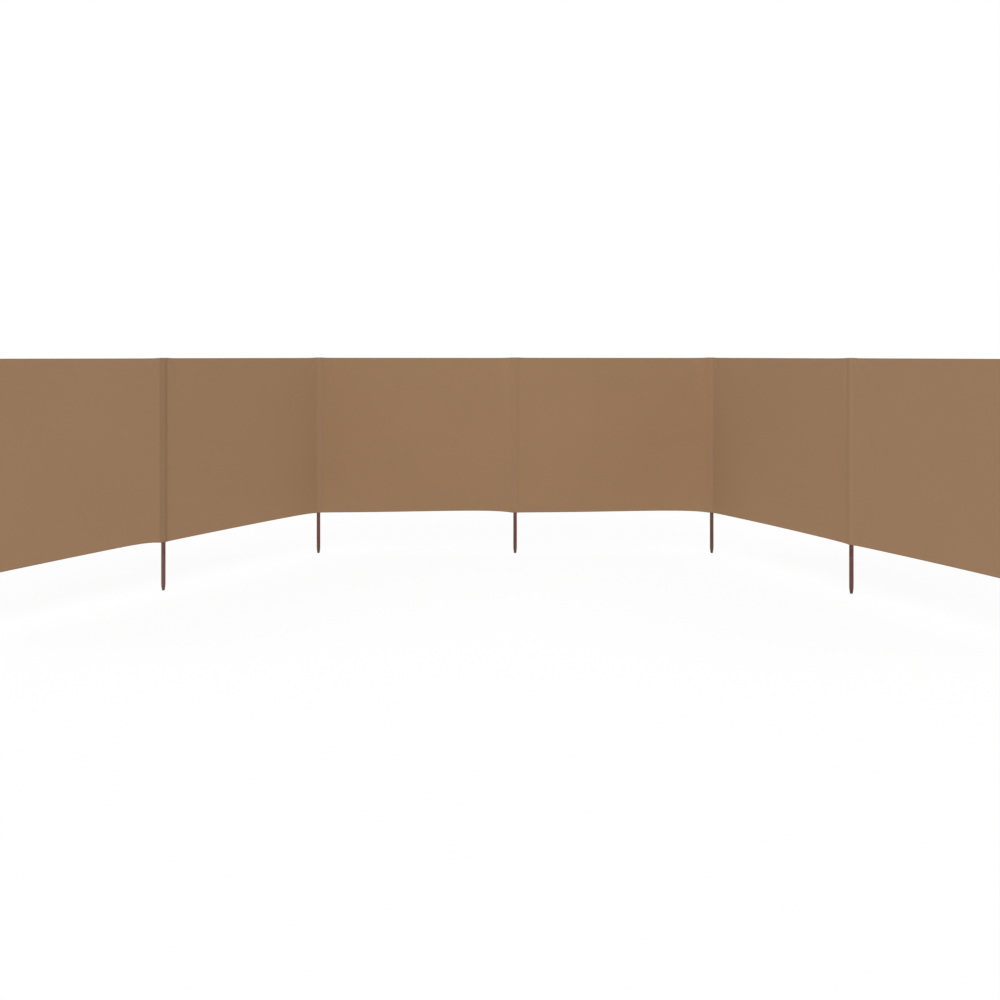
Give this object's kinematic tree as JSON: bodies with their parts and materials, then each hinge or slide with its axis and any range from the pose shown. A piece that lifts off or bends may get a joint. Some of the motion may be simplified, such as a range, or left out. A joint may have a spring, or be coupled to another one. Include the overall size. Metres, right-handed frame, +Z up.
{
  "type": "beach windbreak",
  "caption": "Folding beach windbreak: a long strip of plain cloth sewn into tunnels round pointed wooden poles that push into the sand.",
  "frame": {"origin": "middle of the blunt end of the middle pole's point", "axes": "+Z up along the poles; +X along the two middle bays, to the right as seen from the open side; the open side faces -Y"},
  "size_m": [4.6747, 2.2629, 1.2016],
  "materials": {
    "stained_wood": "satin",
    "cloth": "matte",
    "tunnel_cloth": "matte"
  },
  "bodies": {
    "panel_3": {"bay_3": "cloth", "pole_3": "stained_wood", "pocket_3": "tunnel_cloth", "pole_4": "stained_wood", "pocket_4": "tunnel_cloth"},
    "panel_4": {"bay_4": "cloth", "pole_5": "stained_wood", "pocket_5": "tunnel_cloth"},
    "panel_5": {"bay_5": "cloth", "pole_6": "stained_wood", "pocket_6": "tunnel_cloth"},
    "panel_6": {"bay_6": "cloth", "pole_7": "stained_wood", "pocket_7": "tunnel_cloth"},
    "panel_2": {"bay_2": "cloth", "pole_2": "stained_wood", "pocket_2": "tunnel_cloth"},
    "panel_1": {"bay_1": "cloth", "pole_1": "stained_wood", "pocket_1": "tunnel_cloth"}
  },
  "joints": [
    {"name": "fold_4", "type": "hinge", "parent": "panel_3", "child": "panel_4", "pos_m": [0, 0, 0], "axis": [0, 0, 1], "range_deg": [-84, 150]},
    {"name": "fold_5", "type": "hinge", "parent": "panel_4", "child": "panel_5", "pos_m": [1.21, 0, 0], "axis": [0, 0, -1], "range_deg": [-178, 83.5]},
    {"name": "fold_6", "type": "hinge", "parent": "panel_5", "child": "panel_6", "pos_m": [1.69249, -1.10964, 0], "axis": [0, 0, 1], "range_deg": [-150, 150]},
    {"name": "fold_3", "type": "hinge", "parent": "panel_3", "child": "panel_2", "pos_m": [-1.21, 0, 0], "axis": [0, 0, 1], "range_deg": [-178.5, 91.5]},
    {"name": "fold_2", "type": "hinge", "parent": "panel_2", "child": "panel_1", "pos_m": [-1.84222, -1.0317, 0], "axis": [0, 0, -1], "range_deg": [-150, 150]}
  ]
}
